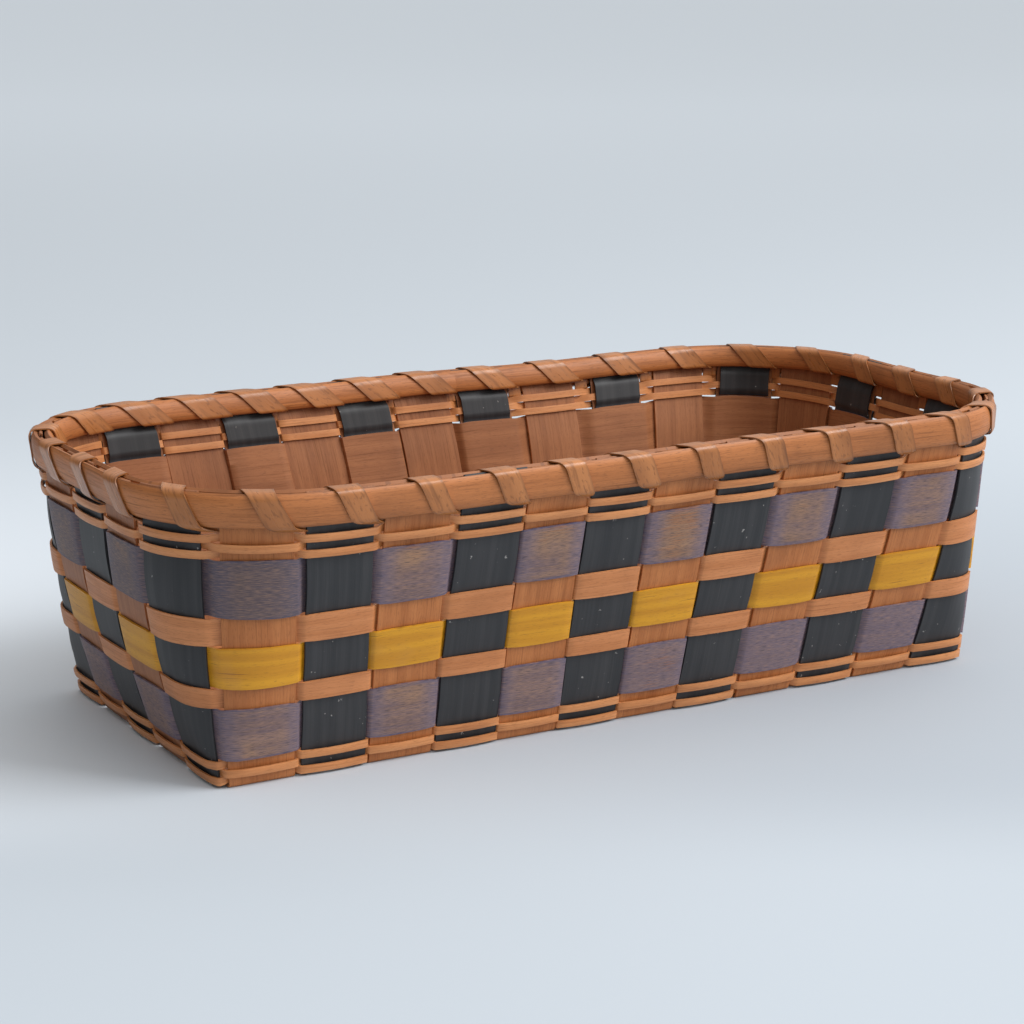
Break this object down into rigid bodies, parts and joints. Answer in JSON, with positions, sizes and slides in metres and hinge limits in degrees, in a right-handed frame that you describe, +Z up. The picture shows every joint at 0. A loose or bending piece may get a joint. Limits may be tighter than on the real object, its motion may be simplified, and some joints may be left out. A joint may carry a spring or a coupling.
{
  "type": "woven fruit basket",
  "caption": "Rectangular open basket of plain-woven flat wood splints with flaring walls, coloured bands and a lashed double-hoop rim.",
  "frame": {"origin": "on the ground under the middle of the base", "axes": "+X along the basket, +Y from the front wall to the rear wall, +Z up"},
  "size_m": [0.3786, 0.1916, 0.1077],
  "materials": {
    "plain_splint": "bare split-ash, satin from handling, fine straight grain",
    "dark_splint": "matt blue-black wash over split ash, paint on the outer face",
    "blue_splint": "thin worn purple-blue wash over brown split ash",
    "yellow_splint": "thin ochre-yellow wash over split ash, grain showing",
    "narrow_splint": "bare pale split ash, freshly cut edges",
    "hoop_wood": "bare bent ash, straight grain, rubbed top edge",
    "lashing_splint": "thin satin-smooth split ash, golden brown"
  },
  "bodies": {
    "root": {"cross_stake_01": "plain_splint", "cross_stake_02": "dark_splint", "cross_stake_03": "plain_splint", "cross_stake_04": "dark_splint", "cross_stake_05": "plain_splint", "cross_stake_06": "dark_splint", "cross_stake_07": "plain_splint", "cross_stake_08": "dark_splint", "cross_stake_09": "plain_splint", "cross_stake_10": "dark_splint", "cross_stake_11": "plain_splint", "cross_stake_12": "dark_splint", "long_stake_1": "plain_splint", "long_stake_2": "plain_splint", "long_stake_3": "plain_splint", "long_stake_4": "plain_splint", "long_stake_5": "plain_splint", "base_weaver_1": "narrow_splint", "base_weaver_2": "narrow_splint", "base_weaver_3": "narrow_splint", "lower_blue_weaver": "blue_splint", "lower_plain_weaver": "plain_splint", "yellow_weaver": "yellow_splint", "upper_plain_weaver": "plain_splint", "upper_blue_weaver": "blue_splint", "top_weaver_1": "narrow_splint", "top_weaver_2": "narrow_splint", "top_weaver_3": "narrow_splint", "outer_hoop": "hoop_wood", "inner_hoop": "hoop_wood", "rim_lashing": "lashing_splint"}
  },
  "joints": []
}
